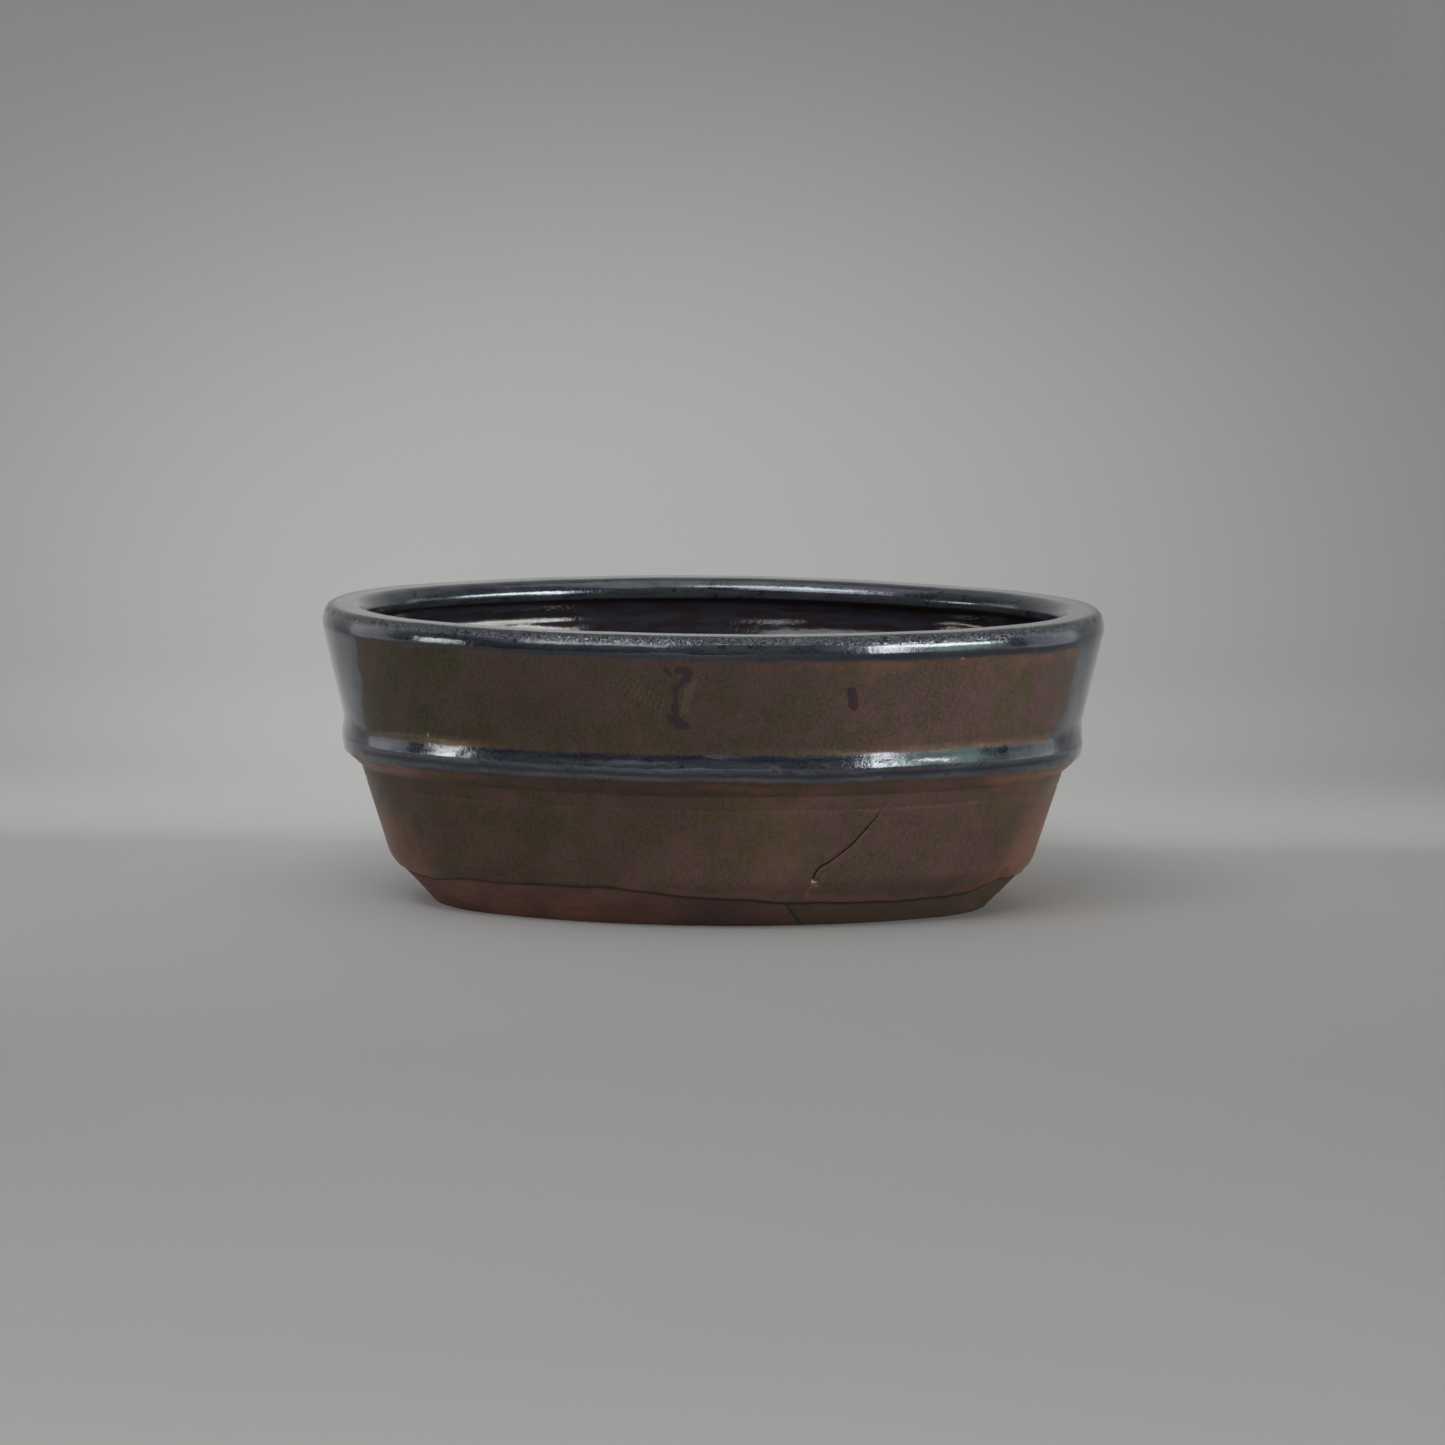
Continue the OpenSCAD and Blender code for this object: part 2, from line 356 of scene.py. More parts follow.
def clay_bumps(tree, place):
    """Height of the bare clay's tooth: sand grains and fine drag lines."""
    sand = grain(tree, place, 0.45, 5.0, detail=4, rough=0.65)
    drag = grain(tree, place, 1.6, 6.0, (0.3, 0.3, 4), detail=3)
    return sums(tree, "ADD", sums(tree, "MULTIPLY", sand, 0.6), sums(tree, "MULTIPLY", drag, 0.5))


bare_clay, tree, shader, place = new_finish("bare clay")
tree.links.new(clay_colour(tree, place), shader.inputs["Base Color"])
dry = rises(tree, grain(tree, place, 3, 8.0), 0.1, 0.9)
tree.links.new(sums(tree, "ADD", 0.62, sums(tree, "MULTIPLY", dry, 0.25)), shader.inputs["Roughness"])
bump = node(tree, "Bump", {"Height": clay_bumps(tree, place), "Distance": 0.00012, "Strength": 1.0})
tree.links.new(bump.outputs["Normal"], shader.inputs["Normal"])

# Profile points are (inset from the lip's outside, height, corner radius), here and below.
FOOT_SEAM = (26.16, 4.0, 0)
foot_skin = skin([(40, 4, 0), (40, 0, 0.8), (30, 0, 0.8), FOOT_SEAM], FRONT_STEP)
foot_ring = coil("foot_ring", [foot_skin], [[]], clay_relief, clay_marks)
foot_ring.data.materials.append(bare_clay)
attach(foot_ring, "root")
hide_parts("foot_ring")

# ---------------------------------------------------------------- floor
# A rolled slab of the same bare clay, let in over the foot ring. Two drain holes and four
# tie-wire holes are cut through it while it is leather hard, and their edges are sponged round.
FLOOR_TOP = 11.0
FLOOR_UNDER = 4.0
FLOOR_EDGE_INSET = 32.5
DRAIN_X = 34.0
DRAIN_RADIUS = 11.0
TIE_X = 20.0
TIE_Y = 24.28
TIE_RADIUS = 2.0
SPONGED = 0.7
UNEVEN_ABOVE = 7.0
BIG_HOLE = 5

# The slab's surface is laid out on a grid this far apart, out to here each way from its middle.
GRID_STEP = 1.6
GRID_LONG = 70
GRID_DEEP = 46
GRID_MARGIN = 1.2

floor_holes = [(s * DRAIN_X, 0.0, DRAIN_RADIUS) for s in (-1, 1)]
floor_holes += [(sx * TIE_X, sy * TIE_Y, TIE_RADIUS) for sx in (-1, 1) for sy in (-1, 1)]
cx, cy, radius = arc_of(facings)
floor_rim = np.stack([cx + (radius - FLOOR_EDGE_INSET) * np.cos(facings),
                      cy + (radius - FLOOR_EDGE_INSET) * np.sin(facings)], 1)


def hole_sides(hole_radius):
    """How many sides a hole is drawn with."""
    return 96 if hole_radius > BIG_HOLE else 40


def clear_of_holes(x, y, gap):
    """Whether a spot on the slab is at least that far outside every hole."""
    return all(math.hypot(x - hx, y - hy) >= hr + gap for hx, hy, hr in floor_holes)


def floor_sheet():
    """The slab seen from above: points and triangles, with the holes left open."""
    points = [tuple(p) for p in floor_rim]
    edges = [(i, (i + 1) % len(points)) for i in range(len(points))]
    for hx, hy, hr in floor_holes:
        first = len(points)
        count = hole_sides(hr)
        for i in range(count):
            a = 2 * math.pi * i / count
            points.append((hx + (hr + SPONGED) * math.cos(a), hy + (hr + SPONGED) * math.sin(a)))
            edges.append((first + i, first + (i + 1) % count))
    for gx in np.arange(-GRID_LONG, GRID_LONG, GRID_STEP):
        for gy in np.arange(-GRID_DEEP, GRID_DEEP, GRID_STEP):
            by_rim = np.min(np.hypot(floor_rim[:, 0] - gx, floor_rim[:, 1] - gy)) < GRID_MARGIN
            if clear_of_holes(gx, gy, SPONGED + 1) and not by_rim:
                points.append((float(gx), float(gy)))
    flat, _, triangles, _, _, _ = delaunay_2d_cdt([Vector(p) for p in points], edges, [], 1, 1e-6)
    flat = np.array([tuple(p) for p in flat])
    kept = []
    for t in triangles:
        middle = flat[list(t)].mean(0)
        if clear_of_holes(middle[0], middle[1], SPONGED * 0.9):
            kept.append(tuple(t))
    return flat, kept


def make_floor():
    """The slab's top, underside, edge and hole linings, as one closed mesh."""
    flat, triangles = floor_sheet()
    points = [(x, y, FLOOR_TOP) for x, y in flat] + [(x, y, FLOOR_UNDER) for x, y in flat]
    n = len(flat)
    faces = [tuple(t) for t in triangles] + [tuple(reversed([n + i for i in t])) for t in triangles]
    loops = [(floor_rim, [(0, FLOOR_TOP), (0, FLOOR_UNDER)], None)]
    for hx, hy, hr in floor_holes:
        turn = -2 * np.pi * np.arange(hole_sides(hr)) / hole_sides(hr)
        ring = np.stack([np.cos(turn), np.sin(turn)], 1)
        lining = []
        for t in np.linspace(0, math.pi / 2, 5):
            lining.append((hr + SPONGED * (1 - math.sin(t)), FLOOR_TOP - SPONGED * (1 - math.cos(t))))
        for z in np.linspace(FLOOR_TOP - SPONGED, FLOOR_UNDER + SPONGED, 7)[1:-1]:
            lining.append((hr, z))
        for t in np.linspace(math.pi / 2, 0, 5):
            lining.append((hr + SPONGED * (1 - math.sin(t)), FLOOR_UNDER + SPONGED * (1 - math.cos(t))))
        loops.append((ring, lining, (hx, hy)))
    for ring, rows, centre in loops:
        first = len(points)
        count = len(ring)
        for r, z in rows:
            if centre is None:
                points += [(x, y, z) for x, y in ring]
            else:
                points += [(centre[0] + r * c, centre[1] + r * s, z) for c, s in ring]
        for j in range(len(rows) - 1):
            for i in range(count):
                a = first + j * count + i
                b = first + j * count + (i + 1) % count
                faces.append((b, a, a + count, b + count))
    points = np.array(points)
    _, rise = hand_shape(points)
    uneven = points[:, 2] > UNEVEN_ABOVE
    points[:, 2] += rise + 0.10 * lattice(points * [1, 1, 0], 11, 41) * uneven
    return make_mesh("floor_slab", points, faces, np.ones(len(faces), bool))


floor_slab = make_floor()
welded = bmesh.new()
welded.from_mesh(floor_slab.data)
bmesh.ops.remove_doubles(welded, verts=welded.verts, dist=0.02 * MM)
bmesh.ops.recalc_face_normals(welded, faces=welded.faces)
welded.to_mesh(floor_slab.data)
welded.free()
floor_slab.data.materials.append(bare_clay)
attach(floor_slab, "root")
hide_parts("floor_slab")

# ---------------------------------------------------------------- lower wall
# Built up from the floor and leaning out, with a rounded shoulder over the foot and a cove
# inside. The pot is dipped in iron glaze: thin, it fires to a satin bronze, and thick, to a
# glossy blue black. It stops in a rolled edge above the foot, and a firing crack runs down it.

# Flaws in the front, as strokes: the long crack, a short one beside it, the chip where they
# meet, and the flaked edge of the glaze near the right end.
crack = [(44.7, 33.8, 42.6, 30.4, 0.06), (42.6, 30.4, 40.1, 27.4, 0.12), (40.1, 27.4, 36.1, 22.8, 0.17),
         (36.1, 22.8, 33.4, 20.6, 0.18), (33.4, 20.6, 30.4, 18.3, 0.16), (30.4, 18.3, 28.0, 17.0, 0.20),
         (28.0, 17.0, 26.8, 15.4, 0.20), (26.8, 15.4, 26.2, 13.6, 0.22)]
second_crack = [(27.4, 13.2, 28.6, 15.2, 0.10), (28.6, 15.2, 31.6, 17.2, 0.06)]
chip = [(26.3, 12.9, 27.1, 12.6, 0.40), (26.2, 12.0, 25.1, 10.0, 0.08)]
flaked_edge = [(62.1, 7.4, 66, 8.3, 0.5), (66, 8.3, 71.3, 9.5, 1.0), (71.3, 9.5, 76.6, 12.2, 1.2)]

# Dark spots where glaze ran or was touched while wet, on the front of the upper wall.
stains = [(-8.6, 69.8, -6.2, 69.4, 1.0), (-5.9, 69.0, -6.6, 67.6, 0.8), (-11.9, 69.9, -10.6, 68.4, 0.5),
          (-7.4, 67.4, -9.0, 65.4, 0.7), (-9.4, 65.4, -9.4, 60.5, 0.55), (-9.5, 60.5, -9.4, 57.8, 0.85),
          (-10.9, 57.5, -9.6, 57.2, 0.75), (-10.3, 57.0, -7.0, 55.3, 1.15), (-8.9, 55.2, -7.4, 54.9, 0.8),
          (35.4, 63.9, 35.9, 60.4, 1.15)]
# Fine strokes that a stiff brush left beside the run.
comb_strokes = [(-8.2 + 0.15 * i, 57.6 + 0.95 * i, -5.6 + 0.25 * i, 59.6 + 1.15 * i, 0.08)
                for i in range(8)]
comb_strokes += [(-13.5 - 1.3 * i, 58.0 + 0.8 * i, -12.2 - 1.2 * i, 62.5 + 0.6 * i, 0.05)
                 for i in range(9)]
# Pale specks where a bit of grit has burst through.
specks = [(46.1, 68.6, 46.2, 68.6, 0.22), (65.9, 61.1, 66.0, 61.1, 0.16), (-73.0, 49.4, -73.0, 48.8, 0.20),
          (63.6, 71.6, 64.0, 71.6, 0.25), (-31.0, 66.2, -30.9, 66.2, 0.14), (12.5, 57.5, 12.6, 57.5, 0.12)]

# The glaze's thickness, and the heights of a line scored under the belt and of the roll that
# the glaze has sagged to inside.
COAT = 0.30
SCORED_Z = 32.6
SAGGED_Z = 66.4


def glaze_relief(spot):
    """The glaze's skin: soft waves, its rolled lower edge, and the cracks and chips in the front."""
    place, x, z, outer = spot["place"], spot["x"], spot["z"], spot["outer"]
    plan = place * [1, 1, 0]
    proud = 0.05 * lattice(place, 12, 51) + 0.022 * lattice(place, 4.5, 52)
    proud += 0.010 * lattice(place, 1.7, 53)
    above = z - glaze_line(spot["around"], place)
    edge = ease(above, -0.35, 0.35) * COAT + 0.16 * swell(above - 0.7, 0.6)
    proud += np.where(outer & (z < 20), edge, COAT)
    over_sag = z - (SAGGED_Z + 0.9 * lattice(plan, 16, 55) + 0.4 * lattice(plan, 5, 56))
    roll = 0.28 * swell(over_sag, 0.9) - 0.12 * swell(over_sag - 2, 1.2)
    proud += np.where(~outer & (z > 60) & (z < 70), 0.6 * roll, 0)
    scored = swell(z - SCORED_Z - 0.3 * lattice(place, 20, 57), 0.45)
    proud -= np.where(outer, 0.16 * scored, 0)
    groove = swell(np.maximum(near_strokes(x, z, crack), 0), 0.35)
    groove += 0.5 * swell(np.maximum(near_strokes(x, z, second_crack), 0), 0.3)
    crater = swell(np.maximum(near_strokes(x, z, chip), 0), 0.5)
    flake = ease(near_strokes(x, z, flaked_edge), 0.6, -0.4) * (0.5 + 0.5 * lattice(place, 1.8, 54))
    proud -= (outer & spot["front"]) * (0.22 * groove + 0.75 * crater + 0.35 * flake)
    return proud


# Where the glaze changes: the thick glaze's edges under the lip and on the belt, the copper
# line under the belt, the start of the thick runs down the two ends, and its edge inside.
LIP_GLAZE_Z = 72.4
BELT_GLAZE_TOP = 47.4
BELT_GLAZE_FOOT = 41.0
COPPER_Z = 38.4
END_RUN_X = 93.0
INSIDE_GLAZE_Z = 27


def thick_marks(spot, wobble, slant):
    """1 where the glaze lies thick: under the lip, on the belt, down both ends and inside."""
    x, z, place = spot["x"], spot["z"], spot["place"]
    under_lip = ease(z - LIP_GLAZE_Z + slant + wobble, -0.7, 0.5)
    belt_top = ease(BELT_GLAZE_TOP + 0.5 * np.minimum(x, 0) / 60 + wobble - z, -0.5, 0.6)
    belt_low = ease(z - BELT_GLAZE_FOOT - wobble + 0.9 * np.abs(x) / 100, -0.7, 0.5)
    end_edge = END_RUN_X + 0.10 * (z - 70) - 4 * ease(z, 56, 48) * (x > 0)
    end_edge += 1.4 * lattice(place, 17, 67) + 0.9 * lattice(place, 6, 68) + 0.4 * lattice(place, 2.4, 69)
    end_run = ease(np.abs(x) - end_edge, -0.7, 0.5) * (z > 46)
    outside = np.maximum(np.maximum(under_lip, end_run), belt_top * belt_low)
    return np.where(spot["outer"] & (spot["up"] <= 0.5) & (z <= 73.5), outside, 1.0)


def copper_marks(spot, wobble, slant, above):
    """Where the glaze is copper: run thin under the belt, most towards the ends, below the lip at
    the right and along its own lower edge, and coloured copper low on both ends as well."""
    x, z = spot["x"], spot["z"]
    under_belt = swell(z - COPPER_Z - 0.5 * wobble, 1.9) * (0.30 + 0.70 * ease(np.abs(x), 55, 96))
    under_lip = 0.34 * swell(z - 71.0 + slant + wobble, 2.2) * ease(x, -40, 40)
    lower_edge = 0.30 * swell(above - 1.6, 1.5) * (z < 30)
    low_ends = 0.95 * (ease(np.abs(x) + 0.8 * (20 - z), 66, 92) * (z < 35))
    copper = np.maximum(np.maximum(under_belt, under_lip), np.maximum(lower_edge, low_ends))
    return copper * spot["outer"]


def hollow_shade_marks(z, wobble, slant):
    """Painted shade in the hollows at the belt's and the lip's edges: the thick glaze there is painted
    darker for the dark reflections these hollows show.
    """
    belt_hollow_shade = swell(z - 42.1 - wobble, 0.65) + 0.65 * swell(z - 46.3 - wobble, 0.8)
    return belt_hollow_shade + 0.95 * swell(z - 73.1 + slant, 1.3)


def fired_and_lit_marks(around, place, z):
    """How hot that side was fired, the left cooler and the right hotter, as was the foot; the same value
    also paints light, the right brighter and the left darker as the windows' light falls.
    """
    fired_and_lit = 0.5 + 0.8 * np.sin(np.radians(around)) + 0.25 * lattice(place, 46, 65)
    return np.clip(fired_and_lit + 0.15 * lattice(place, 15, 66) + 0.35 * (z < 40), 0, 1)


def glaze_marks(spot):
    """What the finish has to know at each point: height above the glaze line, how thickly the
    glaze lies, where it is copper, and distances from the stains and the cracks."""
    x, z, place, outer, inset = [spot[key] for key in ("x", "z", "place", "outer", "inset")]
    plan = place * [1, 1, 0]
    wobble = 0.30 * lattice(place * [1, 1, 0.2], 11, 61) + 0.22 * lattice(place, 4, 62)
    slant = 0.7 * x / 100
    above = z - glaze_line(spot["around"], place)
    above_inside = z - INSIDE_GLAZE_Z - 2.5 * lattice(plan, 19, 63) - 1.2 * lattice(plan, 6, 64)
    marks = clay_marks(spot)
    marks["above_line"] = np.where(outer | (z > 71), above, above_inside)
    marks["thick"] = thick_marks(spot, wobble, slant)
    marks["copper"] = copper_marks(spot, wobble, slant, above)
    marks["hollow_shade"] = hollow_shade_marks(z, wobble, slant) * outer
    marks["inside"] = (~outer & (z < 73.2) & (inset > 6)).astype(float)
    marks["upper"] = ease(z, 44, 52)
    marks["fired_and_lit_side"] = fired_and_lit_marks(spot["around"], place, z)
    marks["top_edge"] = swell(inset - 1.4, 1.3) * ease(z, 75.8, 76.8) * (inset < 8)
    gaps = {"crack_gap": np.minimum(near_strokes(x, z, crack), near_strokes(x, z, second_crack) + 0.06),
            "chip_gap": near_strokes(x, z, chip), "flake_gap": near_strokes(x, z, flaked_edge),
            "stain_gap": near_strokes(x, z, stains), "comb_gap": near_strokes(x, z, comb_strokes),
            "speck_gap": near_strokes(x, z, specks)}
    for name, gap in gaps.items():
        marks[name] = np.where(outer & spot["front"], gap, FAR_OFF)
    return marks


def bronze_colour(tree, place, fleck, patch, scratch):
    """Thin glaze: mottled bronze, olive where the kiln was cooler and ruddy where it was hotter,
    with purple-brown patches, brush marks and scratches, and copper where it is thinnest and low
    on both ends; by the same side value it is painted brighter on the right and darker on the
    left, a painted fall of the windows' light."""
    fired_and_lit_side = mark(tree, "fired_and_lit_side")
    mottle = rises(tree, grain(tree, place, 9, 11.0, detail=6, rough=0.68), 0.40, 0.60)
    olive = blend(tree, mottle, (0.066, 0.064, 0.023), (0.116, 0.067, 0.055))
    ruddy = blend(tree, mottle, (0.116, 0.094, 0.044), (0.180, 0.092, 0.090))
    colour = blend(tree, fired_and_lit_side, olive, ruddy)
    colour = lay(tree, colour, patch, 0.5, (0.112, 0.056, 0.070))
    warm = rises(tree, grain(tree, place, 24, 12.5, (1, 1, 1.6), detail=5, rough=0.65), 0.52, 0.66)
    warmth = sums(tree, "ADD", 0.10, sums(tree, "MULTIPLY", fired_and_lit_side, 0.22))
    colour = lay(tree, colour, warm, warmth, (0.260, 0.138, 0.078))
    colour = lay(tree, colour, fleck, 0.40, (0.210, 0.146, 0.104))
    brush = grain(tree, place, 1.6, 14.0, (1.4, 1, 0.30), detail=4, rough=0.7)
    colour = lay(tree, colour, rises(tree, brush, 0.50, 0.72), 0.35, (0.070, 0.048, 0.038))
    colour = lay(tree, colour, scratch, 0.22, (0.280, 0.200, 0.140))
    uneven = sums(tree, "MULTIPLY", sums(tree, "SUBTRACT", mottle, 0.5), 0.18)
    coppery = rises(tree, sums(tree, "ADD", mark(tree, "copper"), uneven), 0.10, 1.1)
    colour = lay(tree, colour, coppery, 0.85, (0.400, 0.176, 0.100))
    # Painted light: the bronze is scaled brighter on the right and darker on the left, as the windows'
    # light falls on it.
    fired_and_lit = sums(tree, "ADD", 0.62, sums(tree, "MULTIPLY", fired_and_lit_side, 0.46))
    return node(tree, "VectorMath", {0: colour, "Scale": fired_and_lit}, operation="SCALE").outputs[0]


def pooled_colour(tree, place, fleck):
    """Thick glaze: blue black with paler streaks and flecks and dark clots, painted shade in the
    hollows at the belt's and the lip's edges, darker in the pits along the lip's edge, and nearly
    black inside the pot."""
    streak = grain(tree, place, 2.6, 15.0, (0.22, 0.22, 1.3), detail=4, rough=0.6)
    streak = rises(tree, streak, 0.40, 0.62)
    colour = blend(tree, streak, (0.046, 0.051, 0.070), (0.092, 0.106, 0.118))
    colour = lay(tree, colour, fleck, 0.35, (0.125, 0.140, 0.165))
    clot = rises(tree, grain(tree, place, 2.4, 15.5, (0.6, 0.6, 1.2), detail=4), 0.60, 0.68)
    colour = lay(tree, colour, clot, 0.7, (0.020, 0.020, 0.030))
    # Painted shade: the hollows at the belt's and the lip's edges are painted darker.
    colour = lay(tree, colour, mark(tree, "hollow_shade"), 0.85, (0.016, 0.016, 0.030))
    pit = rises(tree, grain(tree, place, 0.8, 15.7, detail=1, rough=0.5), 0.52, 0.58)
    pit = sums(tree, "MULTIPLY", pit, mark(tree, "top_edge"))
    colour = lay(tree, colour, pit, 0.9, (0.010, 0.010, 0.012))
    within = blend(tree, streak, (0.026, 0.017, 0.018), (0.030, 0.030, 0.044))
    return blend(tree, mark(tree, "inside"), colour, within)


def front_marks(tree, place, leaning, colour):
    """The dark run and spot, the brush strokes beside them, the flaked edge and the grit specks."""
    ragged = sums(tree, "SUBTRACT", grain(tree, leaning, 0.9, 16.0, (1.4, 1, 0.35)), 0.5)
    stain = sums(tree, "ADD", mark(tree, "stain_gap"), sums(tree, "MULTIPLY", ragged, 1.3))
    colour = lay(tree, colour, rises(tree, stain, 0.30, -0.15), 0.8, (0.046, 0.028, 0.040))
    combed = rises(tree, mark(tree, "comb_gap"), 0.18, 0.0)
    colour = lay(tree, colour, combed, 0.36, (0.300, 0.205, 0.150))
    broken = sums(tree, "MULTIPLY", grain(tree, place, 1.6, 17.0), 2.2)
    flake = rises(tree, sums(tree, "ADD", mark(tree, "flake_gap"), broken), 1.5, 0.7)
    colour = lay(tree, colour, flake, 0.75, (0.240, 0.105, 0.066))
    speck = rises(tree, mark(tree, "speck_gap"), 0.15, -0.1)
    return blend(tree, speck, colour, (0.34, 0.25, 0.21))


def without(tree, value, other):
    """A value with another one's share of it taken away."""
    return sums(tree, "MULTIPLY", value, sums(tree, "SUBTRACT", 1.0, other))


def between(tree, amount, first, second):
    """A value that goes from the first to the second as the amount goes from 0 to 1."""
    return node(tree, "Mix", {0: amount, 2: first, 3: second}, data_type="FLOAT").outputs[0]


glaze, tree, shader, place = new_finish("iron glaze")
thick = mark(tree, "thick")
inside = mark(tree, "inside")
patch = rises(tree, grain(tree, place, 38, 12.0, (1, 1, 1.4), detail=3), 0.42, 0.60)
fleck = rises(tree, grain(tree, place, 0.75, 13.0, detail=3, rough=0.75), 0.38, 0.62)
tilt = (0, math.radians(-38), 0)
leaning = node(tree, "Mapping", {"Vector": place, "Rotation": tilt}).outputs["Vector"]
scratch = rises(tree, grain(tree, leaning, 0.6, 14.5, (1.5, 1, 0.20), detail=3, rough=0.6), 0.55, 0.68)
worked = rises(tree, grain(tree, place, 22, 14.7, detail=2), 0.45, 0.62)
scratch = sums(tree, "MULTIPLY", scratch, worked)
bronze = bronze_colour(tree, place, fleck, patch, scratch)
colour = blend(tree, thick, bronze, pooled_colour(tree, place, fleck))
colour = front_marks(tree, place, leaning, colour)

# Below the glaze's edge the clay is bare, and just under the edge a dark line of painted shadow stands for
# the shade under the glaze's rolled edge.
above_line = mark(tree, "above_line")
bare = rises(tree, above_line, 0.25, -0.15)
colour = blend(tree, bare, colour, clay_colour(tree, place))
painted_line_shadow = sums(tree, "MULTIPLY", rises(tree, above_line, -1.1, -0.4), rises(tree, above_line, 0.60, 0.10))
colour = lay(tree, colour, painted_line_shadow, 0.85, (0.014, 0.010, 0.009))

# The cracks are dark, and the chip, where the clay is bared, is painted pale as a painted glint, in a
# yellowish ring.
crack_line = rises(tree, mark(tree, "crack_gap"), 0.10, 0.0)
colour = lay(tree, colour, crack_line, 0.9, (0.008, 0.005, 0.005))
round_chip = sums(tree, "ADD", mark(tree, "chip_gap"), grain(tree, place, 0.7, 17.5))
colour = lay(tree, colour, rises(tree, round_chip, 1.6, 0.7), 0.5, (0.260, 0.170, 0.070))
chip_and_glint = rises(tree, round_chip, 0.60, 0.30)
colour = blend(tree, chip_and_glint, colour, (0.50, 0.45, 0.38))
tree.links.new(colour, shader.inputs["Base Color"])

# The iron gives the thin glaze a metal's satin shine, and the thick glaze a glassy skin as well.
metal = sums(tree, "SUBTRACT", 0.80, sums(tree, "MULTIPLY", thick, 0.25))
metal = sums(tree, "SUBTRACT", metal, sums(tree, "MULTIPLY", inside, 0.50))
metal = without(tree, without(tree, metal, bare), chip_and_glint)
tree.links.new(metal, shader.inputs["Metallic"])
satin = sums(tree, "ADD", 0.34, sums(tree, "MULTIPLY", fleck, 0.10))
satin = sums(tree, "ADD", satin, sums(tree, "MULTIPLY", patch, 0.06))
gloss = sums(tree, "ADD", 0.11, sums(tree, "MULTIPLY", fleck, 0.07))
gloss = sums(tree, "SUBTRACT", gloss, sums(tree, "MULTIPLY", inside, 0.05))
sheen = between(tree, bare, between(tree, thick, satin, gloss), 0.72)
tree.links.new(sheen, shader.inputs["Roughness"])
coat = sums(tree, "ADD", 0.05, sums(tree, "MULTIPLY", mark(tree, "upper"), 0.35))
coat = sums(tree, "MAXIMUM", coat, sums(tree, "MULTIPLY", thick, 0.70))
coat = without(tree, coat, sums(tree, "MULTIPLY", inside, 0.55))
tree.links.new(without(tree, coat, bare), shader.inputs["Coat Weight"])
shader.inputs["Coat Roughness"].default_value = 0.06

# Its surface is faintly dimpled, with beads along the lip's edge.
peel = grain(tree, place, 1.3, 18.0, detail=2, rough=0.6)
tooth = grain(tree, place, 0.35, 19.0, detail=2, rough=0.6)
dimples = sums(tree, "ADD", sums(tree, "MULTIPLY", peel, 0.6), sums(tree, "MULTIPLY", tooth, 0.25))
dimples = sums(tree, "ADD", dimples, sums(tree, "MULTIPLY", scratch, 0.10))
beads = rises(tree, grain(tree, place, 0.75, 18.5, detail=2, rough=0.7), 0.40, 0.62)
beads = sums(tree, "MULTIPLY", sums(tree, "MULTIPLY", beads, mark(tree, "top_edge")), 3.5)
dimples = between(tree, bare, sums(tree, "ADD", dimples, beads), clay_bumps(tree, place))
bump = node(tree, "Bump", {"Height": dimples, "Distance": 0.00006, "Strength": 1.0})
tree.links.new(bump.outputs["Normal"], shader.inputs["Normal"])
tree.links.new(bump.outputs["Normal"], shader.inputs["Coat Normal"])

INSIDE_STEP = 0.9
BELT_FOOT = (11.25, 34.2, 0)
BEHIND_BELT = (8.86, 41.75)
INSIDE_JOINT = (17.05, 38.0, 0)
lower_outside = skin([FOOT_SEAM, (18.2, 12.3, 8), BELT_FOOT], FRONT_STEP)
lower_inside = skin([INSIDE_JOINT, (25.6, FLOOR_TOP, 7), (FLOOR_EDGE_INSET, FLOOR_TOP, 0)], INSIDE_STEP)
lower_wall = coil("lower_wall", [lower_outside, lower_inside],
                  [[BEHIND_BELT], [(FLOOR_EDGE_INSET, FLOOR_UNDER)]], glaze_relief, glaze_marks)
lower_wall.data.materials.append(glaze)
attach(lower_wall, "root")
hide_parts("lower_wall")

# ---------------------------------------------------------------- belt
# A strip of clay luted over the joint of the two walls and run round with a wooden tool, so
# it has a sharp ledge below and a soft neck above. Glaze pools on its crest, blue and glossy,
# and pulls thin to copper under it.
BELT_STEP = 0.33
BELT_NECK = (5.527, 50.5, 0)
UNDER_NECK = (6.72, 48.5)
belt_skin = skin([BELT_FOOT, (10.6, 36.25, 0.5), (5.95, 40.3, 1.0), (5.4, 43.6, 3.0), (6.0, 48.5, 9.0),
                  BELT_NECK], BELT_STEP)
LEDGE_Z = 39.8
nick = [(15.4, 43.9, 16.9, 43.6, 0.2)]


def belt_relief(spot):
    """The belt's tool marks, its uneven lower edge and the nick in its crest."""
    place = spot["place"]
    proud = glaze_relief(spot)
    edge = swell(spot["z"] - LEDGE_Z, 1.5)
    proud += edge * (0.22 * lattice(place * [1, 1, 0.4], 9, 71) + 0.10 * lattice(place, 3, 72))
    worked = ease(spot["z"], 35.5, 38) * ease(spot["z"], 49.5, 47.5)
    proud += worked * 0.09 * lattice(place * [0.12, 0.12, 1], 1.7, 73)
    proud += worked * 0.035 * lattice(place * [0.5, 0.5, 1], 1.5, 74)
    nicked = swell(np.maximum(near_strokes(spot["x"], spot["z"], nick), 0), 0.4)
    proud -= spot["front"] * 0.25 * nicked
    return proud


belt = coil("belt_band", [belt_skin], [[UNDER_NECK]], belt_relief, glaze_marks)
belt.data.materials.append(glaze)
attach(belt, "root")
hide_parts("belt_band")

